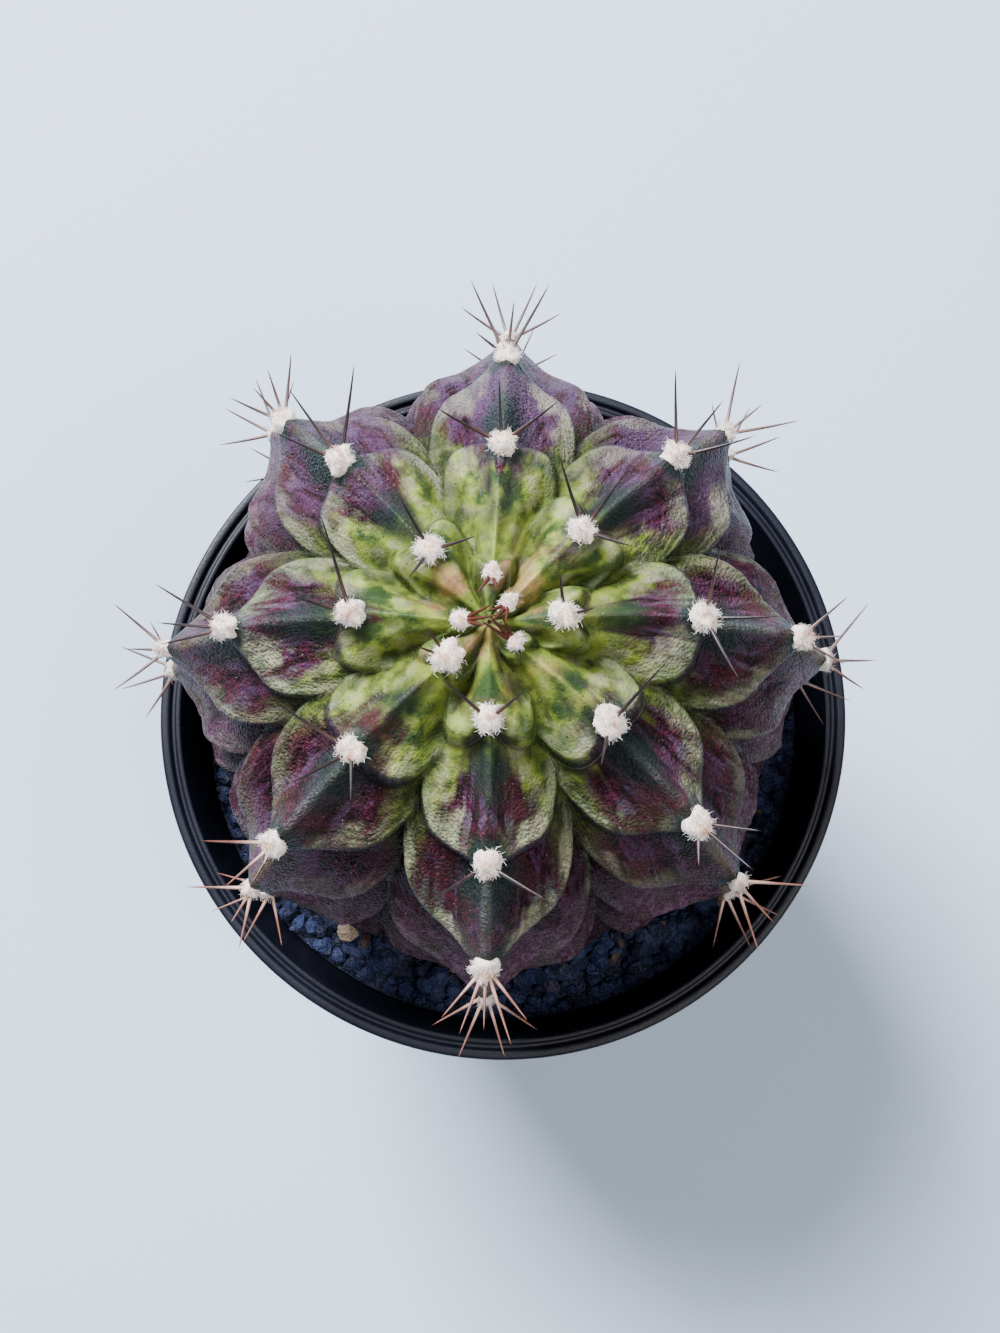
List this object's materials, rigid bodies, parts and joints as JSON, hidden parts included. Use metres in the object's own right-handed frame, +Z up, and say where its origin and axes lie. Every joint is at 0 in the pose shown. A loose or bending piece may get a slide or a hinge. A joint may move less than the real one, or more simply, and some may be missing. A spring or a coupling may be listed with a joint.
{
  "type": "potted cactus",
  "caption": "Globe cactus with ribs of stacked arrowhead tubercles, white wool pads and dark spines, in a round tapered nursery pot filled with dark grit.",
  "frame": {"origin": "middle of the pot's base, on the surface it stands on", "axes": "+Z up along the pot's axis, -Y towards the front, +X to the right seen from the front"},
  "size_m": [0.0928, 0.0944, 0.1276],
  "materials": {
    "pot": "satin moulded polypropylene, near black",
    "soil": "loose dark lava grit, rough and dry",
    "cactus_skin": "waxy skin, yellow-green at the crown, dark maroon on the flanks, pale sage bands",
    "wool": "white felted wool, fluffy",
    "spine": "dark brown horn, red-brown at the tips"
  },
  "bodies": {
    "root": {"pot": "pot", "soil": "soil", "cactus": "cactus_skin"}
  },
  "joints": []
}
